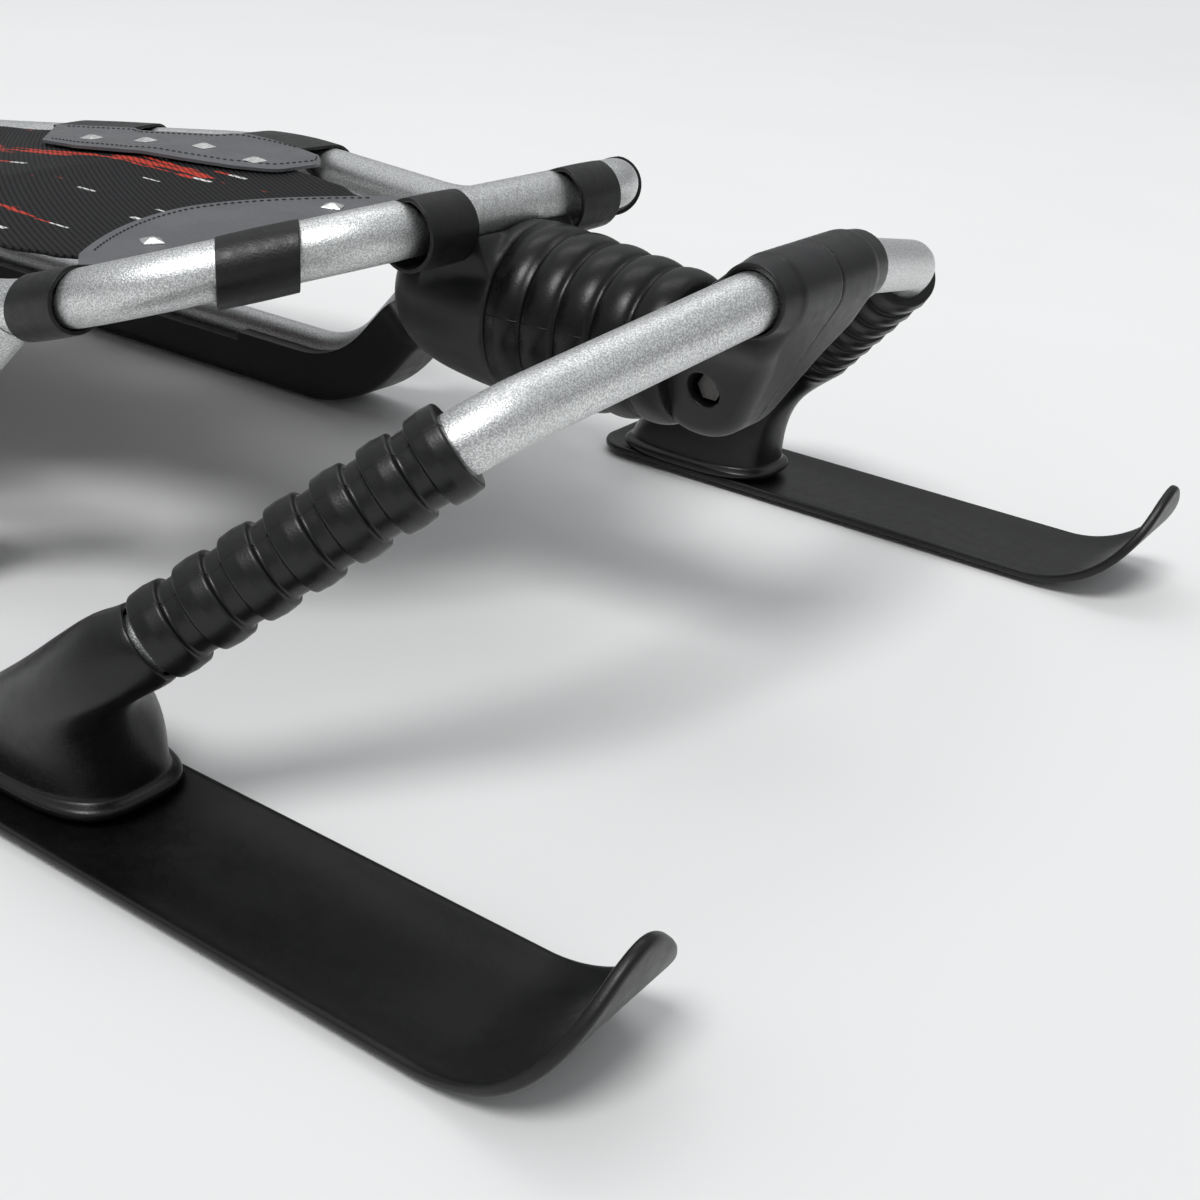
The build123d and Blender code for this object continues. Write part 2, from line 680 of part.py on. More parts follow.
for label, stations, inner_y in (
    ("chest", chest_strap_x, chest_panel_inner_y), ("hip", hip_strap_x, hip_panel_inner_y),
):
    front_x = stations[0] + side_strap_width / 2
    rear_x = stations[1] - side_strap_width / 2
    steps = [front_x + (rear_x - front_x) * step / 6 for step in range(7)]
    outer = [beside_rail(x, panel_inset) for x in steps]
    inner = [(steps[5], inner_y), (steps[1], inner_y), (steps[0], inner_y + mesh_lap)]
    for side, sign in (("left", 1), ("right", -1)):
        panel([(x, sign * y) for x, y in outer + inner],
              [rail_strap(x, sign, side_strap_width) for x in stations], f"{label}_panel_{side}")

rear_straps = [
    strap(Vector(rear_bar_x, sign * rear_strap_y, rear_bar_z), (0, -1, 0), (1, 0, 0),
          side_strap_width)
    for sign in (-1, 1)
]
panel(
    both_sides([(panel_rear_x, rear_panel_half[0]),
                (panel_rear_x + rear_panel_depth, rear_panel_half[1])]),
    rear_straps, "rear_panel",
)
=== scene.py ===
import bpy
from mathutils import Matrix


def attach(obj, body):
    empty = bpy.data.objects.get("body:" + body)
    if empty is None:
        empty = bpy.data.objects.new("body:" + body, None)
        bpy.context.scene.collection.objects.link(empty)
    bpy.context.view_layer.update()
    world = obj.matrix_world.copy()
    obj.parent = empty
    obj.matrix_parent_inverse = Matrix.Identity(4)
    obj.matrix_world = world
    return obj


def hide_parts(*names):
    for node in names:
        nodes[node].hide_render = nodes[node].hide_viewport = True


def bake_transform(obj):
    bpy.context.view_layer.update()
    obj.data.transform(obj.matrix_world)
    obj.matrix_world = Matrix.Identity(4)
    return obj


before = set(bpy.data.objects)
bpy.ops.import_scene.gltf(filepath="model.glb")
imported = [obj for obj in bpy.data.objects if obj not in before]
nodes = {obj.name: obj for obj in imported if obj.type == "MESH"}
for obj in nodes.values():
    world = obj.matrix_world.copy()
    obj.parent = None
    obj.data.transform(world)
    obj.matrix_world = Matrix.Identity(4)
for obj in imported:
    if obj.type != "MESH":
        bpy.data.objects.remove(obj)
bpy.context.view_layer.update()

import math

import bmesh
import bpy
from mathutils import Matrix, Vector

scene = bpy.context.scene
MM = 0.001
UP = Vector((0, 0, 1))
ARC_STEP = math.radians(4)           # between the points of an arc
BEAD_SIDES = 6                       # round a seam or a stitch


# ------------------------------------------------------------------ node graphs
class Graph:
    """A Principled material with its texture nodes."""

    def __init__(self, name, **sockets):
        self.material = bpy.data.materials.new(name)
        self.material.use_nodes = True
        self.tree = self.material.node_tree
        self.bsdf = self.tree.nodes["Principled BSDF"]
        for key, value in sockets.items():
            self.bsdf.inputs[key.replace("_", " ")].default_value = value
        self.place = self.tree.nodes.new("ShaderNodeTexCoord").outputs["Object"]

    def add(self, kind, inputs, **settings):
        node = self.tree.nodes.new("ShaderNode" + kind)
        for key, value in settings.items():
            setattr(node, key, value)
        for key, value in inputs.items():
            self.put(node.inputs[key], value)
        return node.outputs[0]

    def put(self, socket, value):
        if isinstance(value, bpy.types.NodeSocket):
            self.tree.links.new(value, socket)
        else:
            socket.default_value = value

    def to(self, key, value):
        self.put(self.bsdf.inputs[key], value)

    def calc(self, operation, a, b=0.0):
        return self.add("Math", {0: a, 1: b}, operation=operation)

    def noise(self, scale, detail, rough=0.55, at=None):
        return self.add("TexNoise", {"Vector": at or self.place, "Scale": scale,
                                     "Detail": detail, "Roughness": rough})

    def stretched(self, scale):
        return self.add("Mapping", {"Vector": self.place, "Scale": scale})

    def split(self):
        """The two level coordinates, along the sled and across it."""
        node = self.tree.nodes.new("ShaderNodeSeparateXYZ")
        self.put(node.inputs[0], self.place)
        return node.outputs[0], node.outputs[1]

    def ramp(self, value, low, high, to_low=0.0, to_high=1.0, smooth=True):
        return self.add("MapRange", {"Value": value, "From Min": low, "From Max": high,
                                     "To Min": to_low, "To Max": to_high},
                        interpolation_type="SMOOTHSTEP" if smooth else "LINEAR")

    def mix(self, amount, a, b):
        node = self.tree.nodes.new("ShaderNodeMix")
        node.data_type = "RGBA"
        self.put(node.inputs["Factor"], amount)
        for socket, value in ((node.inputs[6], a), (node.inputs[7], b)):
            self.put(socket, (*value, 1.0) if isinstance(value, tuple) else value)
        return node.outputs[2]

    def bump(self, height, depth, strength, over=None):
        node = self.tree.nodes.new("ShaderNodeBump")
        node.inputs["Strength"].default_value = strength
        node.inputs["Distance"].default_value = depth
        self.put(node.inputs["Height"], height)
        if over:
            self.put(node.inputs["Normal"], over)
        self.put(self.bsdf.inputs["Normal"], node.outputs[0])
        return node.outputs[0]


def moulded(name, dark, light, rough, grain, grain_depth, specular=0.4):
    """Black moulded plastic or rubber: fine grain, slow ripples, dust and handling marks."""
    g = Graph(name, Specular_IOR_Level=specular)
    slow = g.noise(22, 4)
    dust = g.noise(160, 5, 0.7)
    scuff = g.noise(1.0, 6, 0.65, g.stretched((60, 190, 90)))
    tone = g.calc("MULTIPLY", g.ramp(slow, 0.3, 0.7), g.ramp(dust, 0.35, 0.75, 0.6, 1.0))
    g.to("Base Color", g.mix(tone, dark, light))
    wear = g.calc("MULTIPLY", g.ramp(scuff, 0.55, 0.8), 0.12)
    g.to("Roughness", g.calc("ADD", g.ramp(dust, 0.2, 0.8, rough - 0.06, rough + 0.07), wear))
    fine = g.bump(g.noise(grain, 2, 0.5), grain_depth, 0.5)
    g.bump(g.noise(38, 2), 0.0012, 0.18, fine)
    return g.material


def tube_material():
    """Satin silver coat with a sparkling grain, faint clouds and a smudged weld at the neck."""
    g = Graph("silver_tube", Metallic=1.0)
    x, y = g.split()
    flakes = g.noise(1350, 2, 0.7)
    coarse = g.noise(800, 2, 0.6)
    cloud = g.noise(9, 3)
    base = g.mix(g.ramp(flakes, 0.42, 0.60), (0.50, 0.51, 0.51), (0.91, 0.92, 0.92))
    base = g.mix(g.calc("MULTIPLY", g.ramp(coarse, 0.60, 0.70), 0.45), base, (0.34, 0.35, 0.35))
    base = g.mix(g.calc("MULTIPLY", g.ramp(cloud, 0.42, 0.7), 0.25), base, (0.56, 0.57, 0.56))
    near_weld = g.calc("MULTIPLY", g.ramp(x, 0.352, 0.372),
                       g.ramp(g.calc("ABSOLUTE", y), 0.026, 0.052, 1.0, 0.0))
    smear = g.noise(1.0, 4, 0.6, g.stretched((170, 170, 90)))
    weld = g.calc("MULTIPLY", near_weld, g.ramp(smear, 0.48, 0.68, 0.0, 0.4))
    base = g.mix(weld, base, (0.42, 0.42, 0.41))
    g.to("Base Color", base)
    rough = g.ramp(coarse, 0.3, 0.7, 0.37, 0.47)
    g.to("Roughness", g.calc("ADD", rough, g.calc("MULTIPLY", weld, 0.22)))
    g.bump(g.noise(1300, 2, 0.6), 0.00030, 0.6)
    return g.material


def vinyl_material(name, dark, light, rough):
    """Coated sheet vinyl: leather-like grain and soft creases that are worn slightly paler."""
    g = Graph(name, Specular_IOR_Level=0.4)
    pebble = g.add("TexVoronoi", {"Vector": g.place, "Scale": 900.0}, feature="F1")
    cloud = g.noise(30, 4)
    crease = g.noise(1.0, 4, 0.6, g.stretched((55, 140, 80)))
    base = g.mix(g.ramp(cloud, 0.3, 0.7), dark, light)
    g.to("Base Color", g.mix(g.calc("MULTIPLY", g.ramp(crease, 0.6, 0.75), 0.3), base, light))
    g.to("Roughness", g.ramp(g.noise(220, 4), 0.25, 0.75, rough - 0.05, rough + 0.08))
    fine = g.bump(pebble, 0.00012, 0.5)
    g.bump(crease, 0.0016, 0.16, fine)
    return g.material


def weave_material():
    """Ribbed black mesh, with loose red dashes along both sides and pale flecks between them; its
    grooves hold painted shade and painted glints.
    """
    g = Graph("ribbed_mesh", Specular_IOR_Level=0.15)
    x, y = g.split()
    pitch, yarn = 0.0036, 0.0016
    # the ribs run at a slant that turns slowly along the sled, with a finer knit across them
    slant = g.calc("SUBTRACT", 0.7, g.calc("MULTIPLY", x, 0.71))
    bias = g.calc("ADD", y, g.calc("MULTIPLY", x, slant))
    rib = g.calc("ABSOLUTE", g.calc("SINE", g.calc("MULTIPLY", bias, math.pi / pitch)))
    cross = g.calc("SUBTRACT", y, g.calc("MULTIPLY", x, 1.4))
    knit = g.calc("ABSOLUTE", g.calc("SINE", g.calc("MULTIPLY", cross, math.pi / (1.7 * yarn))))
    row = g.calc("FLOOR", g.calc("DIVIDE", y, yarn))
    height = g.calc("ADD", g.calc("POWER", rib, 0.7), g.calc("MULTIPLY", knit, 0.10))
    # painted shade: the grooves between the ribs are painted near black and the crests a dark grey
    body = g.mix(g.ramp(rib, 0.15, 0.75), (0.0004, 0.0004, 0.0004), (0.013, 0.013, 0.014))
    # painted glints: sparse pale grey dots in the grooves stand in for glints of light off the yarn
    painted_glint = g.calc("MULTIPLY", g.ramp(g.noise(1400, 2), 0.60, 0.70),
                   g.ramp(rib, 0.25, 0.05, 0.0, 0.5))
    body = g.mix(painted_glint, body, (0.16, 0.16, 0.17))
    # red dashes: long thin noise cells in whole yarn rows, in a wavering band each side
    seat = g.add("CombineXYZ", {0: g.calc("MULTIPLY", x, 24.0), 1: g.calc("MULTIPLY", row, 0.37),
                                2: g.ramp(y, -0.001, 0.001, 0.0, 4.0)})
    dash = g.noise(1.0, 2.5, 0.55, seat)
    wander = g.calc("MULTIPLY", g.calc("SINE", g.calc("MULTIPLY", x, 15.0)), 0.007)
    reach = g.calc("ABSOLUTE", g.calc("SUBTRACT", g.calc("ABSOLUTE", y),
                                      g.calc("ADD", wander, 0.062)))
    band = g.ramp(reach, 0.001, 0.017, 0.13, -0.16, smooth=False)
    fade = g.ramp(x, 0.08, 0.15, 0.0, -0.25)
    red = g.ramp(g.calc("ADD", dash, g.calc("ADD", band, fade)), 0.54, 0.57)
    # flecks: one per jittered cell, a thin dash in one or two yarn rows, with a short red tail
    across = g.calc("DIVIDE", row, 14.0)
    lane = g.calc("FLOOR", across)
    shift = g.add("TexWhiteNoise", {"W": lane}, noise_dimensions="1D")
    along = g.calc("ADD", g.calc("DIVIDE", x, 0.066), shift)
    spot = g.calc("FLOOR", along)
    key = g.add("CombineXYZ", {0: lane, 1: spot, 2: 5.0})
    chance = g.add("TexWhiteNoise", {"Vector": key}, noise_dimensions="3D")
    in_x = g.calc("SUBTRACT", g.calc("FRACT", along), 0.5)
    in_y = g.calc("SUBTRACT", g.calc("FRACT", across),
                  g.calc("ADD", g.calc("MULTIPLY", chance, 0.6), 0.2))
    thin = g.ramp(g.calc("ABSOLUTE", in_y), 0.046, 0.060, 1.0, 0.0)
    present = g.ramp(chance, 0.55, 0.56)
    fleck = g.calc("MULTIPLY", g.calc("MULTIPLY", thin, present),
                   g.ramp(g.calc("ABSOLUTE", in_x), 0.095, 0.120, 1.0, 0.0))
    tail = g.calc("MULTIPLY", g.calc("MULTIPLY", thin, g.ramp(chance, 0.74, 0.75)),
                  g.ramp(g.calc("ABSOLUTE", g.calc("ADD", in_x, 0.19)), 0.09, 0.11, 1.0, 0.0))
    # painted shade: the red dye and the flecks are dimmed to a quarter of their strength in the
    # grooves
    relief = g.ramp(rib, 0.0, 0.5, 0.25, 1.0)
    paint = g.calc("MULTIPLY", g.calc("MAXIMUM", red, tail), relief)
    body = g.mix(paint, body, (0.50, 0.045, 0.025))
    body = g.mix(g.calc("MULTIPLY", fleck, relief), body, (0.74, 0.74, 0.73))
    g.to("Base Color", body)
    g.to("Roughness", g.ramp(knit, 0.0, 1.0, 0.70, 0.52))
    g.bump(height, 0.0011, 0.8)
    return g.material


def steel_material(name, tone, rough):
    """Plated steel with fine scratches."""
    g = Graph(name, Metallic=1.0)
    scratch = g.noise(1.0, 4, 0.6, g.stretched((900, 240, 600)))
    g.to("Base Color", g.mix(g.ramp(scratch, 0.3, 0.7), tuple(0.75 * t for t in tone), tone))
    g.to("Roughness", g.ramp(scratch, 0.3, 0.75, rough - 0.06, rough + 0.12))
    g.bump(scratch, 0.0002, 0.2)
    return g.material


TUBE = tube_material()
PLASTIC = moulded("satin_plastic", (0.005, 0.005, 0.0055), (0.009, 0.009, 0.010), 0.36, 1500, 0.00012)
RUBBER = moulded("moulded_rubber", (0.003, 0.003, 0.003), (0.007, 0.0072, 0.007), 0.32, 1100, 0.00012)
SOFT_RUBBER = moulded("bellows_rubber", (0.003, 0.003, 0.003), (0.007, 0.0072, 0.007), 0.30, 1100,
                      0.00012, specular=0.28)
SKI = moulded("ski_polymer", (0.002, 0.002, 0.0023), (0.005, 0.005, 0.0056), 0.38, 1700, 0.00014)
STRAP = vinyl_material("strap_vinyl", (0.003, 0.003, 0.003), (0.006, 0.006, 0.0063), 0.40)
# dark vinyl with painted reflection: its base colour is lifted to grey to stand in for its sheen at
# grazing angles
PANEL = vinyl_material("panel_vinyl", (0.088, 0.091, 0.098), (0.108, 0.111, 0.119), 0.36)
THREAD = moulded("thread", (0.010, 0.010, 0.010), (0.022, 0.022, 0.022), 0.7, 2600, 0.0002)
RIVET = steel_material("nickel_rivet", (0.93, 0.93, 0.92), 0.30)
# painted shade: the zinc bolt's colour is darkened to the shade of the deep recess it sits in
BOLT = steel_material("zinc_bolt", (0.16, 0.155, 0.15), 0.34)
WEAVE = weave_material()


# ------------------------------------------------------------------ mesh helpers, in millimetres
def piece(name, bm, material, body, smooth=True):
    """Turns a bmesh in millimetres into a finished piece that rides on a body, if it has one."""
    bmesh.ops.recalc_face_normals(bm, faces=bm.faces)
    mesh = bpy.data.meshes.new(name)
    bm.to_mesh(mesh)
    bm.free()
    mesh.transform(Matrix.Scale(MM, 4))
    mesh.materials.append(material)
    for polygon in mesh.polygons:
        polygon.use_smooth = smooth
    obj = bpy.data.objects.new(name, mesh)
    scene.collection.objects.link(obj)
    if body:
        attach(obj, body)
    return obj


def modifier(obj, kind, **settings):
    made = obj.modifiers.new(kind.lower(), kind)
    for key, value in settings.items():
        setattr(made, key, value)


def arc_path(points, radii, step):
    """Straight runs with tangent arcs, as the tubes are bent, in short even steps."""
    corners = [Vector(p) for p in points]
    out = [corners[0]]
    for i in range(1, len(corners) - 1):
        before, here, after = corners[i - 1:i + 2]
        u, w = (before - here).normalized(), (after - here).normalized()
        turn = math.pi - u.angle(w)
        radius = radii[i - 1] if isinstance(radii, (list, tuple)) else radii
        if turn < 1e-3:
            continue
        centre = here + (u + w).normalized() * (radius / math.cos(turn / 2))
        start = here + u * radius * math.tan(turn / 2) - centre
        end = here + w * radius * math.tan(turn / 2) - centre
        count = max(2, math.ceil(turn / ARC_STEP))
        for k in range(count + 1):
            a = turn * k / count
            out.append(centre + (start * math.sin(turn - a) + end * math.sin(a)) / math.sin(turn))
    out.append(corners[-1])
    return resample(out, step)


def resample(points, step):
    """The same line in even steps of about this length."""
    lengths = [0.0]
    for a, b in zip(points, points[1:]):
        lengths.append(lengths[-1] + (b - a).length)
    count = max(2, round(lengths[-1] / step))
    out, j = [], 0
    for k in range(count + 1):
        want = lengths[-1] * k / count
        while j < len(points) - 2 and lengths[j + 1] < want:
            j += 1
        span = lengths[j + 1] - lengths[j]
        out.append(points[j].lerp(points[j + 1], (want - lengths[j]) / span if span else 0))
    return out


def grid(bm, rows, closed=False):
    """Quads between rows of points; each row may close on itself."""
    made = [[bm.verts.new(p) for p in row] for row in rows]
    for a, b in zip(made, made[1:]):
        n = len(a)
        for i in range(n if closed else n - 1):
            bm.faces.new((a[i], a[(i + 1) % n], b[(i + 1) % n], b[i]))
    return made


def frame_at(axis):
    """Unit vectors along an axis, level across it, and square to both."""
    axis = axis.normalized()
    side = axis.cross(UP).normalized()
    return axis, side, side.cross(axis)


def lathe(bm, origin, axis, profile, segments=88):
    """Turns (distance along, radius) pairs round an axis."""
    axis, side, top = frame_at(axis)
    rows = []
    for along, radius in profile:
        rows.append([origin + axis * along
                     + (side * math.cos(2 * math.pi * k / segments)
                        + top * math.sin(2 * math.pi * k / segments)) * radius
                     for k in range(segments)])
    grid(bm, rows, closed=True)


def cord_mesh(bm, points, radius):
    """A thin six-sided bead along a line, closed at both ends."""
    rows = []
    for i, p in enumerate(points):
        along = points[min(i + 1, len(points) - 1)] - points[max(i - 1, 0)]
        _, side, top = frame_at(along)
        rows.append([p + (side * math.cos(2 * math.pi * k / BEAD_SIDES)
                          + top * math.sin(2 * math.pi * k / BEAD_SIDES)) * radius
                     for k in range(BEAD_SIDES)])
    made = grid(bm, rows, closed=True)
    bm.faces.new(made[0])
    bm.faces.new(made[-1])


def rounded_profile(points, radius, step):
    """A lathe profile with its corners rounded."""
    path = arc_path([(a, b, 0) for a, b in points], radius, step)
    return [(p.x, p.y) for p in path]


def soften(node, name, material, body, voxel, rounds):
    """A CAD solid's form with moulded, blended edges."""
    obj = bpy.data.objects.new(name, nodes[node].data.copy())
    obj.data.materials.clear()
    obj.data.materials.append(material)
    scene.collection.objects.link(obj)
    modifier(obj, "REMESH", mode="VOXEL", voxel_size=voxel * MM, use_smooth_shade=True)
    modifier(obj, "SMOOTH", factor=0.5, iterations=rounds)
    bpy.context.view_layer.update()
    made = bpy.data.meshes.new_from_object(
        obj.evaluated_get(bpy.context.evaluated_depsgraph_get()))
    obj.modifiers.clear()
    obj.data = made
    made.name = name
    for polygon in made.polygons:
        polygon.use_smooth = True
    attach(obj, body)
    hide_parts(node)


# ------------------------------------------------------------------ the frame's lines, as built
TUBE_R = 12.5
SEAT_GAP = 0.3                       # between the tube and what wraps it
# the left half of the deck tube's centre line, and the middle of the deck from front to rear
loop = arc_path(
    [(378.5, 0, 202), (378.5, 92, 202), (310.5, 165, 178), (226, 163, 150), (35, 199, 150.5),
     (-230, 150, 125), (-520, 168, 94), (-633, 150, 88), (-633, 0, 88)],
    [45, 60, 150, 260, 420, 300, 62], 3.0)
loop_length = [0.0]
for a, b in zip(loop, loop[1:]):
    loop_length.append(loop_length[-1] + (b - a).length)
deck_points = arc_path(
    [(353.5, 0, 202), (292, 0, 178.5), (226, 0, 159), (35, 0, 162), (-230, 0, 136.5),
     (-520, 0, 105.5), (-608, 0, 99.5)], 60, 3.0)


def deck_z(x):
    """Height of the deck's middle surface at this station."""
    if x >= deck_points[0].x:
        return deck_points[0].z
    for a, b in zip(deck_points, deck_points[1:]):
        if b.x <= x <= a.x:
            return a.z + (b.z - a.z) * (a.x - x) / max(a.x - b.x, 1e-6)
    return deck_points[-1].z


def on_loop(length):
    """Centre and direction of the left half of the frame tube, this far from its middle."""
    length = max(0.0, min(length, loop_length[-1] - 0.01))
    for i in range(len(loop) - 1):
        if loop_length[i + 1] >= length:
            share = (length - loop_length[i]) / (loop_length[i + 1] - loop_length[i])
            return loop[i].lerp(loop[i + 1], share), (loop[i + 1] - loop[i]).normalized()


def length_at(x):
    """How far along the left half of the frame tube this station is."""
    for i in range(len(loop) - 1):
        if loop[i + 1].x <= x <= loop[i].x and loop[i].x > loop[i + 1].x:
            return loop_length[i]


def beside_rail(x, inset):
    """A point on the plan this far inside the tube's centre line."""
    centre, along = on_loop(length_at(x))
    flat = math.hypot(along.x, along.y)
    return Vector((centre.x - along.y / flat * inset, centre.y + along.x / flat * inset, 0))


def on_deck(p, lift):
    return Vector((p.x, p.y, deck_z(p.x) + lift))


def mirror_y(points, sign):
    return [Vector((p.x, sign * p.y, p.z)) for p in points]


# ------------------------------------------------------------------ mesh deck
MESH_TOP, VINYL = 1.5, 2.2           # room for the mesh over the middle surface, and for a sheet
MESH_REAR, MESH_FRONT, MESH_MIDDLE = -594, 208, 169
MESH_FRONT_HALF = 116
FRONT_CURVE_HALF = 86                # the front edge curves back within this half width
MESH_ROWS, MESH_COLUMNS = 220, 72
half_width = [(206, 98), (186, 108), (163, 117), (130, 121), (100, 130), (55, 146), (0, 152),
              (-60, 148), (-93, 143), (-159, 130), (-230, 113), (-335, 114), (-470, 122),
              (MESH_REAR, 112)]


def mesh_half(x):
    """Half the mesh's width at this station, eased between the listed ones."""
    if x >= half_width[0][0]:
        return half_width[0][1]
    for (xa, ya), (xb, yb) in zip(half_width, half_width[1:]):
        if xb <= x <= xa:
            t = (xa - x) / (xa - xb)
            t = t * t * (3 - 2 * t)
            return ya + (yb - ya) * t
    return half_width[-1][1]


def mesh_front(y):
    """The mesh's concave front edge, hidden under the front panel."""
    past = abs(y) - FRONT_CURVE_HALF
    if past < 0:
        return MESH_MIDDLE + (MESH_FRONT - MESH_MIDDLE) * (abs(y) / FRONT_CURVE_HALF) ** 2
    return MESH_FRONT - past * 0.27


bm = bmesh.new()
rows = []
for i in range(MESH_ROWS + 1):
    t = i / MESH_ROWS
    row = []
    for j in range(MESH_COLUMNS + 1):
        v = 2 * j / MESH_COLUMNS - 1
        x = MESH_REAR + (mesh_front(v * MESH_FRONT_HALF) - MESH_REAR) * t
        y = v * mesh_half(x)
        sag = -1.6 * (1 - v * v) * math.sin(math.pi * t) ** 0.7
        edge = 0.5 * max(0.0, abs(v) - 0.9) / 0.1 * math.sin(x / 17)
        row.append(Vector((x, y, deck_z(x) + sag + edge)))
    rows.append(row)
grid(bm, rows)
mesh_cloth = piece("mesh_cloth", bm, WEAVE, "frame")
modifier(mesh_cloth, "SOLIDIFY", thickness=1.5 * MM, offset=0.0)
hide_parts("mesh_deck")


# ------------------------------------------------------------------ vinyl panels, straps, stitching
def plate(bm, outer, inner, across):
    """A ruled sheet between two edge lines of as many points, laid on the deck."""
    rows = []
    for k in range(across + 1):
        t = k / across
        rows.append([on_deck(a.lerp(b, t), MESH_TOP + VINYL / 2) for a, b in zip(outer, inner)])
    grid(bm, rows)


STRAP_COLUMNS = 8
WRAP_START, WRAP_END, WRAP_STEP = 84, 316, 8       # degrees round the tube
UPPER_TAIL, UPPER_EDGE, UPPER_LEAVES = 30, 24, 16  # how far inward from the tube's middle
LOWER_TAIL = ((24, 4.4), (31, 3.1), (40, 2.8))     # how far inward, and how far under the panel


def panel_rise(centre, inward, reach):
    """Height of a panel over the tube's middle, this far inward from it."""
    return deck_z((centre + inward * reach).x) + MESH_TOP + VINYL / 2 - centre.z


def strap_loop(bm, length, width, sign, slack, lean=0.0):
    """A strap that leaves a panel, goes round the tube and comes back under the panel.

    Its section is drawn as (inward from the tube's middle, upward), and both tails follow the
    deck's slope.
    """
    rows = []
    for k in range(STRAP_COLUMNS + 1):
        share = k / STRAP_COLUMNS - 0.5
        centre, along = on_loop(length + width * share)
        inward = Vector((-along.y, along.x, 0)).normalized()
        radius = TUBE_R + SEAT_GAP + VINYL / 2 + slack + 0.25 * math.cos(math.pi * share)
        edge = panel_rise(centre, inward, UPPER_EDGE)
        section = [Vector((UPPER_TAIL, panel_rise(centre, inward, UPPER_TAIL) - 0.1, 0)),
                   Vector((UPPER_EDGE, edge, 0)), Vector((UPPER_LEAVES, edge, 0))]
        for degree in range(WRAP_START, WRAP_END + 1, WRAP_STEP):
            a = math.radians(degree)
            section.append(Vector((-slack * (1 + lean) + radius * math.cos(a),
                                   -slack * 0.6 + radius * math.sin(a), 0)))
        section += [Vector((reach, panel_rise(centre, inward, reach) - under, 0))
                    for reach, under in LOWER_TAIL]
        for _ in range(3):
            section = [section[0]] + [
                section[i] * 0.5 + (section[i - 1] + section[i + 1]) * 0.25
                for i in range(1, len(section) - 1)] + [section[-1]]
        rows.append([centre + inward * p.x + UP * p.y for p in section])
    grid(bm, [mirror_y(row, sign) for row in rows])


def finish_sheet(obj):
    """Gives a sheet its thickness and softly rounded edges."""
    modifier(obj, "SOLIDIFY", thickness=2.0 * MM, offset=0.0, use_even_offset=True)
    modifier(obj, "BEVEL", width=0.55 * MM, segments=3, limit_method="ANGLE",
             angle_limit=math.radians(50), harden_normals=True, use_clamp_overlap=True)


STITCH_PITCH = 4.4
STITCH_STEPS = 8                     # points from the start of one stitch to the next
STITCH_RISE = (-0.35, 0.1, 0.25, 0.25, 0.1, -0.35)


def line_length(points):
    return sum((b - a).length for a, b in zip(points, points[1:]))


def stitches(bm, line):
    """Thread dashes along a line on the deck, each sunk at both ends."""
    path = resample([on_deck(p, MESH_TOP + VINYL - 0.1) for p in line], 0.8)
    count = int(line_length(path) / STITCH_PITCH)
    dense = resample(path, line_length(path) / (count * STITCH_STEPS))
    for k in range(count):
        part = dense[k * STITCH_STEPS:k * STITCH_STEPS + len(STITCH_RISE)]
        if len(part) == len(STITCH_RISE):
            cord_mesh(bm, [p + UP * rise for p, rise in zip(part, STITCH_RISE)], 0.42)


RIVET_SIZE = 5.4
RIVET_RINGS = ((1.0, -0.4), (1.04, 0.15), (0.98, 0.5), (0.62, 1.35), (0.22, 2.25))


def rivet(bm, x, y, turn=0.0):
    """A square pyramid stud on a thin flange, its rings given as (scale, height)."""
    slope = math.atan2(deck_z(x + 4) - deck_z(x - 4), 8)
    tilt = Matrix.Rotation(-slope, 3, "Y")
    centre = on_deck(Vector((x, y, 0)), MESH_TOP + VINYL + 0.1)
    rows = []
    for scale, height in RIVET_RINGS:
        row = []
        for k in range(24):
            a = 2 * math.pi * k / 24
            square = 1 / max(abs(math.cos(a)), abs(math.sin(a)))
            r = RIVET_SIZE * scale * (0.82 * square + 0.18)
            row.append(centre + tilt @ Vector((r * math.cos(a + turn), r * math.sin(a + turn),
                                               height)))
        rows.append(row)
    made = grid(bm, rows, closed=True)
    bm.faces.new(made[-1])


# the front panel: an outer edge beside the tube, and a rear edge that bows back to the middle
YOKE_FRONT_X, YOKE_FRONT_HALF = 353.5, 73
YOKE_CORNER = (205, 106)
YOKE_MIDDLE_X = 162
YOKE_INSET = 25
YOKE_STATIONS = (246, 252, 258, 264, 270, 280, 290, 298, 306, 314, 322, 328, 334, 340, 344, 348,
                 351)
yoke_front = [Vector((YOKE_FRONT_X, YOKE_FRONT_HALF * (1 - k / 12), 0)) for k in range(13)]
left_edge = [Vector((*YOKE_CORNER, 0)), Vector((224, 122, 0))]
left_edge += [beside_rail(x, YOKE_INSET) for x in YOKE_STATIONS] + yoke_front
yoke_edge = resample(left_edge + mirror_y(reversed(left_edge[:-1]), -1), 4.0)
yoke_rear = []
for k in range(len(yoke_edge)):
    t = 1 - 2 * k / (len(yoke_edge) - 1)
    bow = (YOKE_CORNER[0] - YOKE_MIDDLE_X) * abs(t) ** 1.8
    yoke_rear.append(Vector((YOKE_MIDDLE_X + bow, YOKE_CORNER[1] * t, 0)))

bm = bmesh.new()
plate(bm, yoke_edge, yoke_rear, 26)
front_yoke = piece("front_yoke", bm, PANEL, "frame")
finish_sheet(front_yoke)
bm = bmesh.new()
for sign, crossbar_strap in ((1, 50.0), (-1, 59.0)):
    strap_loop(bm, crossbar_strap, 31, sign, 1.9, 0.9)
    strap_loop(bm, length_at(346), 35, sign, 1.0, 0.5)
    strap_loop(bm, length_at(262), 34, sign, 0.8)
front_straps = piece("front_straps", bm, STRAP, "frame")
finish_sheet(front_straps)
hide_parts("front_panel")

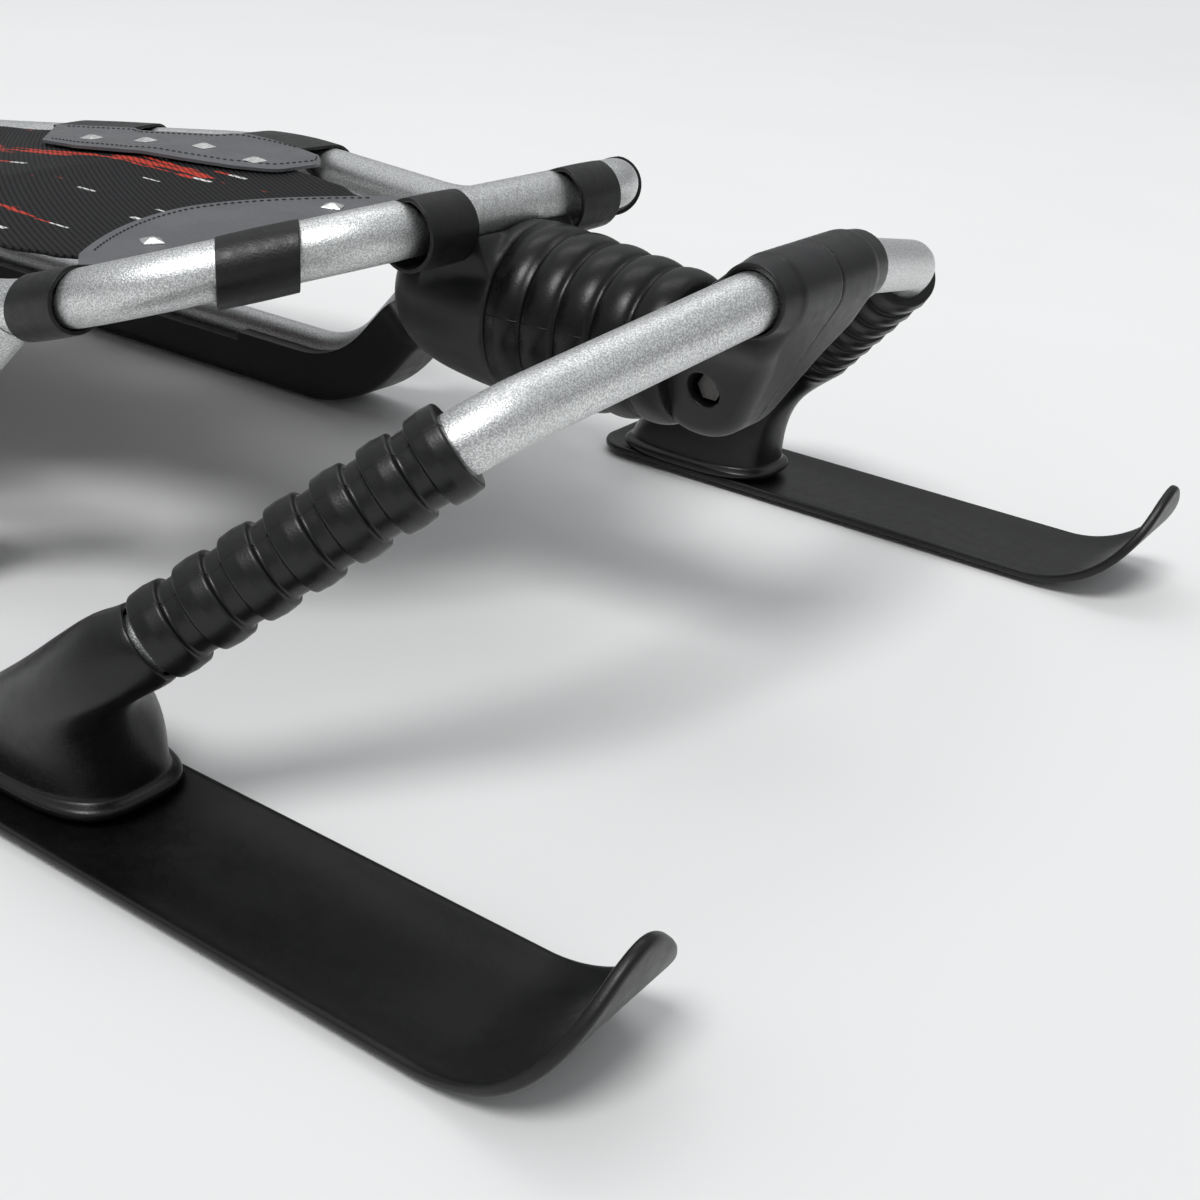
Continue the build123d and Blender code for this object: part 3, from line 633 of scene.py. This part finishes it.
stitch_bm, rivet_bm = bmesh.new(), bmesh.new()
inset_arc = [p + (Vector((290, 0, 0)) - p).normalized() * 5 for p in yoke_rear[3:-3]]
stitches(stitch_bm, inset_arc)
for y in (64, -64):
    rivet(rivet_bm, 208, y, turn=0.5 if y > 0 else -0.5)


WIDE_STRAP = 66
PANEL_STEPS = 60
TAB_INSET, SCALLOP = 26, 11          # from the tube at the tabs, and how much more between them


def side_panel(label, stations, inner_line, rivets):
    """A long panel beside a rail, with two strap tabs and a scalloped outer edge.
    """
    front_x, rear_x = stations[0] + WIDE_STRAP / 2, stations[1] - WIDE_STRAP / 2
    outer = []
    for k in range(PANEL_STEPS + 1):
        x = front_x + (rear_x - front_x) * k / PANEL_STEPS
        off_tab = min(abs(x - station) for station in stations) - WIDE_STRAP / 2
        blend = max(0.0, min(1.0, off_tab / 18))
        blend = blend * blend * (3 - 2 * blend)
        outer.append(beside_rail(x, TAB_INSET + SCALLOP * blend))
    inner = arc_path([(*p, 0) for p in inner_line], 14, 1.0)
    inner = resample(inner, line_length(inner) / PANEL_STEPS)
    for sign, side in ((1, "left"), (-1, "right")):
        bm = bmesh.new()
        plate(bm, mirror_y(outer, sign), mirror_y(inner, sign), 12)
        skin = piece(f"{label}_skin_{side}", bm, PANEL, "frame")
        finish_sheet(skin)
        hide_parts(f"{label}_panel_{side}")
        bm = bmesh.new()
        for x in stations:
            strap_loop(bm, length_at(x), WIDE_STRAP, sign, 0.7)
        bands = piece(f"{label}_straps_{side}", bm, STRAP, "frame")
        finish_sheet(bands)
        inside = [p.lerp(q, 0.13) for p, q in zip(inner[2:-2], outer[2:-2])]
        stitches(stitch_bm, mirror_y(inside, sign))
        outside = [p.lerp(q, 0.90) for p, q in zip(inner[3:-3], outer[3:-3])]
        stitches(stitch_bm, mirror_y(outside, sign))
        for x, y in rivets:
            rivet(rivet_bm, x, sign * y)


side_panel("chest", (57, -104),
           [(106, 158), (124, 142), (122, 106), (98, 92), (66, 82), (28, 72), (-20, 70), (-62, 78)],
           ((97, 112), (50, 114), (5, 106), (-38, 98)))
side_panel("hip", (-335, -470),
           [(-306, 106), (-310, 92), (-340, 88), (-402, 86), (-462, 88), (-500, 96), (-501, 118)],
           ((-322, 108), (-375, 110), (-430, 112), (-482, 112)))

# the rear panel, whose front edge draws back at its corners
REAR_X, REAR_HALF = -608, 112
REAR_FRONT_X, REAR_FRONT_HALF, CORNER_DRAW = -548, 94, 10
REAR_STRAP_Y, REAR_RIVET_X = 76, -574
shares = [1 - k / 32 for k in range(65)]
rear_outer = [Vector((REAR_X, REAR_HALF * t, 0)) for t in shares]
rear_inner = [Vector((REAR_FRONT_X - CORNER_DRAW * abs(t) ** 4, REAR_FRONT_HALF * t, 0))
              for t in shares]
bm = bmesh.new()
plate(bm, rear_outer, rear_inner, 10)
rear_skin = piece("rear_skin", bm, PANEL, "frame")
finish_sheet(rear_skin)
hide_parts("rear_panel")
bm = bmesh.new()
for sign in (1, -1):
    strap_loop(bm, loop_length[-1] - REAR_STRAP_Y, WIDE_STRAP, sign, 0.7)
rear_straps = piece("rear_straps", bm, STRAP, "frame")
finish_sheet(rear_straps)
stitches(stitch_bm, [p.lerp(q, 0.1) for p, q in zip(rear_inner[1:-1], rear_outer[1:-1])])
for y in (-72, -24, 24, 72):
    rivet(rivet_bm, REAR_RIVET_X, y)
piece("stitching", stitch_bm, THREAD, "frame")
piece("rivets", rivet_bm, RIVET, "frame", smooth=False)

# ------------------------------------------------------------------ grips
BAR_X, BAR_Z, RAKE = 537.5, 199.5, math.radians(44)
GRIP_START, GRIP_LENGTH, GRIP_RINGS, RING_WIDTH = 14, 131.0, 7, 12.8


def on_rake(down, out):
    """A point in the bar's raked plane, this far down it and out from the middle."""
    return Vector((BAR_X - down * math.cos(RAKE), out, BAR_Z - down * math.sin(RAKE)))


knee, bar_tip = on_rake(38, 172), on_rake(172, 262.4)
grip_axis = (bar_tip - knee).normalized()
for side, sign in (("left", 1), ("right", -1)):
    flip = Vector((1, sign, 1))
    origin = (knee + grip_axis * GRIP_START) * flip
    axis = grip_axis * flip
    profile = [(0.0, 12.6)]
    for ring in range(GRIP_RINGS):
        start = ring * (GRIP_LENGTH - RING_WIDTH) / (GRIP_RINGS - 1)
        profile += [(start, 15.2), (start + 0.3, 17.5), (start + RING_WIDTH / 2, 18.1),
                    (start + RING_WIDTH - 0.3, 17.6), (start + RING_WIDTH, 15.5)]
        if ring < GRIP_RINGS - 1:
            profile += [(start + RING_WIDTH + 3.4, 15.4)]
    profile.append((GRIP_LENGTH, 12.6))
    bm = bmesh.new()
    lathe(bm, origin, axis, rounded_profile(profile, 1.1, 0.55))
    axis, level, top = frame_at(axis)
    for seam in (2.2, 2.2 + math.pi):
        outward = level * math.cos(seam) + top * math.sin(seam)
        line = [origin + axis * p + outward * (r - 0.12)
                for p, r in rounded_profile(profile[1:-1], 1.1, 1.0)]
        cord_mesh(bm, line, 0.32)
    grip = piece(f"ribbed_grip_{side}", bm, RUBBER, "steering")
    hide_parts(f"grip_{side}")

# ------------------------------------------------------------------ bellows
NECK_Z = 158
CUFF_END, BELLOWS_END = 417.6, 488.0
RIBS, RIB_STEPS, RIB_DEPTH = 4, 15, 4.6
profile = [(400.0, 30.0), (400.2, 39.2), (401.4, 41.4), (409.0, 41.2), (416.2, 40.4),
           (CUFF_END, 38.2)]
pitch = (BELLOWS_END - CUFF_END) / RIBS
for rib in range(RIBS):
    groove = 40.6 - 1.75 * rib - RIB_DEPTH
    for k in range(1, RIB_STEPS + 1):
        t = k / RIB_STEPS
        swell = math.sin(math.pi * t ** 0.85) ** 0.42 if k < RIB_STEPS else 0.0
        profile.append((CUFF_END + (rib + t) * pitch, groove + RIB_DEPTH * swell - 0.6 * t))
profile.append((BELLOWS_END, 22.0))
bm = bmesh.new()
lathe(bm, Vector((0, 0, NECK_Z)), Vector((1, 0, 0)), profile, 112)
for seam in (math.radians(172), math.radians(8)):
    line = [Vector((p, (r - 0.1) * math.cos(seam), NECK_Z + (r - 0.1) * math.sin(seam)))
            for p, r in profile[1:-1]]
    cord_mesh(bm, line, 0.35)
ribbed_bellows = piece("ribbed_bellows", bm, SOFT_RUBBER, None)
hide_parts("bellows")
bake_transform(ribbed_bellows)

# ------------------------------------------------------------------ skis
SKI_Y, SKI_REAR, SKI_HALF = 256, 288.5, 38
FLAT_RUN, CURL_R, CURL, TIP_RUN = 292, 66, math.radians(79), 10.5
SKI_LENGTH = FLAT_RUN + CURL_R * CURL + TIP_RUN
REAR_CORNER, TIP_TAPER = 22, 68


def on_keel(s, y, h):
    """A point of the ski: this far along the sole from its rear end, and this far above it."""
    if s <= FLAT_RUN:
        return Vector((SKI_REAR + s, y, h))
    a = min((s - FLAT_RUN) / CURL_R, CURL)
    past = s - FLAT_RUN - a * CURL_R
    reach = CURL_R - h
    return Vector((SKI_REAR + FLAT_RUN + reach * math.sin(a) + past * math.cos(a), y,
                   CURL_R - reach * math.cos(a) + past * math.sin(a)))


def ski_outline():
    """Half of the outline in the unrolled sole: a rounded rear end and an elliptical tip."""
    side_y = SKI_HALF - REAR_CORNER
    points = [Vector((0, 0, 0)), Vector((0, side_y, 0))]
    for k in range(1, 13):
        a = math.pi / 2 * k / 12
        points.append(Vector((REAR_CORNER * (1 - math.cos(a)), side_y + REAR_CORNER * math.sin(a),
                              0)))
    taper_x = SKI_LENGTH - TIP_TAPER
    points.append(Vector((taper_x, SKI_HALF, 0)))
    for k in range(1, 49):
        a = math.pi / 2 * k / 48
        points.append(Vector((taper_x + TIP_TAPER * math.sin(a),
                              SKI_HALF * max(0.0, math.cos(a)) ** 1.2, 0)))
    return resample(points, 2.2)


half_outline = ski_outline()
ski_edge = half_outline + mirror_y(reversed(half_outline[1:-1]), -1)
# inset from the edge, height of the surface above the sole's lowest line
SKI_TOP = [(38, 4.0), (32, 4.0), (26, 4.05), (21, 4.3), (17, 4.7), (13, 5.3), (9.5, 6.0),
           (6.5, 6.9), (4.2, 7.7), (2.6, 8.1), (1.3, 8.2), (0.35, 7.7), (0.0, 6.8), (0.0, 5.2)]
SKI_SOLE = [(0.4, 4.1), (1.4, 3.4), (3.0, 2.8), (5.5, 2.1), (9.0, 1.3), (13, 0.6), (18, 0.1),
            (26, 0.0), (38, 0.0)]
for side, sign in (("left", 1), ("right", -1)):
    bm = bmesh.new()
    rows = []
    for k, (inset, height) in enumerate(SKI_TOP + SKI_SOLE):
        row = []
        for p in ski_edge:
            spine = Vector((min(max(p.x, SKI_HALF), SKI_LENGTH - 46), 0, 0))
            q = p.lerp(spine, min(0.999, inset / SKI_HALF))
            # the raised edges run out into an even sheet as the ski curls up
            curled = max(0.0, min(1.0, (q.x - FLAT_RUN + 10) / 50))
            flat_height = max(height, 5.0) if k < len(SKI_TOP) else max(height, 3.3)
            row.append(on_keel(q.x, sign * (SKI_Y + q.y), height + curled * (flat_height - height)))
        rows.append(row)
    grid(bm, rows, closed=True)
    bmesh.ops.remove_doubles(bm, verts=bm.verts, dist=0.08)
    loose = [f for f in bm.faces if f.calc_area() < 1e-6]
    bmesh.ops.delete(bm, geom=loose, context="FACES")
    made = piece(f"moulded_ski_{side}", bm, SKI, "steering")
    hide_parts(f"ski_{side}")

# ------------------------------------------------------------------ boots
NECK_GAP = 2.5                       # bare tube between the grip and the boot
BOOT_SIDES = 96
up_bar = -grip_axis                  # from the boot up along the bar
mouth = knee + grip_axis * (GRIP_START + GRIP_LENGTH + NECK_GAP)
upright = (UP - up_bar * UP.dot(up_bar)).normalized()
# front and rear of each ring in x and z, its middle's y, half width, yaw, squareness
BOOT_RINGS = [
    ((401.0, 4.6), (309.0, 4.6), 250, 24.0, 0, 3.2),
    ((404.0, 6.5), (306.5, 6.5), 249, 28.5, 0, 3.2),
    ((406.5, 8.0), (304.0, 8.0), 248, 31.0, 0, 3.2),
    ((407.9, 9.6), (302.6, 9.6), 248, 32.0, 0, 3.2),
    ((408.1, 11.2), (302.4, 11.2), 248, 32.2, 0, 3.2),
    ((407.5, 12.8), (303.0, 12.8), 248, 31.6, 0, 3.2),
    ((405.3, 13.8), (305.2, 13.8), 248, 29.6, 0, 3.1),
    ((404.4, 14.5), (306.2, 14.5), 248, 28.7, 0, 3.0),
    ((404.2, 16.0), (306.4, 16.0), 248, 28.6, 0, 2.9),
    ((404.4, 22.0), (308.0, 21.5), 248.2, 29.2, 0, 2.7),
    ((404.4, 30.0), (312.5, 28.0), 248.8, 29.8, 0, 2.6),
    ((404.6, 39.0), (321.5, 36.0), 250.2, 29.6, 3, 2.5),
    ((405.8, 48.0), (335.0, 45.5), 252.8, 28.2, 8, 2.4),
    ((409.0, 55.5), (352.0, 57.5), 256.4, 25.8, 16, 2.2),
    ((413.8, 61.2), (370.0, 70.5), 259.8, 23.0, 26, 2.1),
    ((419.2, 66.0), (387.0, 83.0), 261.4, 20.2, 34, 2.0),
    ((424.2, 69.9), (402.0, 94.6), 259.6, 18.0, 40, 2.0),
]
mouth_long = -upright
mouth_wide = up_bar.cross(-upright)
# back from the mouth, radius
LIP = [(4.0, 16.9), (1.6, 16.6), (0.5, 16.5), (0.0, 16.0), (0.1, 15.2), (0.9, 14.2), (3.0, 13.2),
       (9.0, 12.7)]
for side, sign in (("left", 1), ("right", -1)):
    stations = []
    for (fx, fz), (rx, rz), y, wide_half, yaw, square in BOOT_RINGS:
        skew = 6.5 * (yaw / 43) ** 1.5
        front, rear = Vector((fx, y - skew, fz)), Vector((rx, y + skew, rz))
        across = Vector((math.sin(math.radians(yaw)), math.cos(math.radians(yaw)), 0)) * wide_half
        stations.append(((front + rear) / 2, (front - rear) / 2, across, square))
    for back, radius in LIP:
        stations.append((mouth - up_bar * back, mouth_long * radius, mouth_wide * radius, 2.0))
    rows = []
    for centre, along, across, square in stations:
        row = []
        for k in range(BOOT_SIDES):
            a = 2 * math.pi * k / BOOT_SIDES
            c, t = math.cos(a), math.sin(a)
            swell = (abs(c) ** square + abs(t) ** square) ** (-1 / square)
            p = centre + along * c * swell + across * t * swell
            row.append(Vector((p.x, sign * p.y, p.z)))
        rows.append(row)
    bm = bmesh.new()
    made = grid(bm, rows, closed=True)
    bm.faces.new(made[0])
    boot = piece(f"rubber_boot_{side}", bm, RUBBER, "steering")
    modifier(boot, "SUBSURF", levels=1, render_levels=1)
    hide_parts(f"boot_{side}")

# ------------------------------------------------------------------ moulded parts
soften("neck_housing", "moulded_housing", PLASTIC, "frame", 1.4, 10)
for side in ("left", "right"):
    soften(f"clamp_{side}", f"moulded_clamp_{side}", PLASTIC, "steering", 0.75, 3)

# ------------------------------------------------------------------ CAD nodes that show as they are
for name, obj in nodes.items():
    if obj.hide_render:
        continue
    look = TUBE
    if name.startswith("runner_shoe"):
        look = PLASTIC
    elif name == "clamp_bolt":
        look = BOLT
    for slot in obj.material_slots:
        slot.material = look
    if not obj.material_slots:
        obj.data.materials.append(look)

# ------------------------------------------------------------------ floor, light and camera
FLOOR_HALF = 14000
bm = bmesh.new()
grid(bm, [[Vector((x, y, 0)) for y in (-FLOOR_HALF, FLOOR_HALF)] for x in (-FLOOR_HALF, FLOOR_HALF)])
mesh = bpy.data.meshes.new("floor")
bm.to_mesh(mesh)
bm.free()
mesh.transform(Matrix.Scale(MM, 4))
floor = bpy.data.objects.new("floor", mesh)
scene.collection.objects.link(floor)
g = Graph("pale_floor", Roughness=0.75, Specular_IOR_Level=0.2)
g.to("Base Color", g.mix(g.ramp(g.noise(3, 2), 0.3, 0.7), (0.785, 0.785, 0.785),
                         (0.795, 0.795, 0.795)))
mesh.materials.append(g.material)

world = bpy.data.worlds.new("studio")
scene.world = world
world.use_nodes = True
tree = world.node_tree
sky = tree.nodes.new("ShaderNodeTexCoord").outputs["Generated"]
height = tree.nodes.new("ShaderNodeSeparateXYZ")
tree.links.new(sky, height.inputs[0])
fade = tree.nodes.new("ShaderNodeMapRange")
fade.interpolation_type = "SMOOTHSTEP"
for key, value in {"From Min": 0.12, "From Max": 0.62, "To Min": 0.28, "To Max": 0.60}.items():
    fade.inputs[key].default_value = value
tree.links.new(height.outputs[2], fade.inputs["Value"])
tree.nodes["Background"].inputs["Color"].default_value = (0.97, 0.985, 1.0, 1)
tree.links.new(fade.outputs[0], tree.nodes["Background"].inputs["Strength"])


def lamp(name, kind, power, towards, place=(0, 0, 0), **settings):
    """A lamp whose light travels in a direction."""
    data = bpy.data.lights.new(name, kind)
    data.energy = power
    for key, value in settings.items():
        setattr(data, key, value)
    obj = bpy.data.objects.new(name, data)
    scene.collection.objects.link(obj)
    obj.location = place
    obj.rotation_euler = Vector(towards).to_track_quat("-Z", "Y").to_euler()


lamp("key", "SUN", 1.75, (-0.12, 0.62, -1.0), angle=math.radians(20))
overhead = Vector((-0.2, 0.8, 2.6))
lamp("overhead", "AREA", 9, Vector((0.35, 0, 0.1)) - overhead, overhead, shape="RECTANGLE",
     size=1.8, size_y=0.9)

camera_data = bpy.data.cameras.new("camera")
camera = bpy.data.objects.new("camera", camera_data)
scene.collection.objects.link(camera)
scene.camera = camera
camera_data.sensor_width = 36.0
camera_data.lens = 48.6
camera_data.clip_start = 0.02
camera_data.clip_end = 60
eye = Vector((0.841, -0.5972, 0.3651))
yaw, pitch_down, roll = math.radians(33.41), math.radians(25.58), math.radians(-4.32)
forward = Vector((-math.sin(yaw) * math.cos(pitch_down), math.cos(yaw) * math.cos(pitch_down),
                  -math.sin(pitch_down)))
level = Vector((math.cos(yaw), math.sin(yaw), 0))
down = forward.cross(level)
right = level * math.cos(roll) + down * math.sin(roll)
down = down * math.cos(roll) - level * math.sin(roll)
camera.matrix_world = Matrix((
    (right.x, -down.x, -forward.x, eye.x),
    (right.y, -down.y, -forward.y, eye.y),
    (right.z, -down.z, -forward.z, eye.z),
    (0, 0, 0, 1),
))

scene.view_settings.view_transform = "Standard"
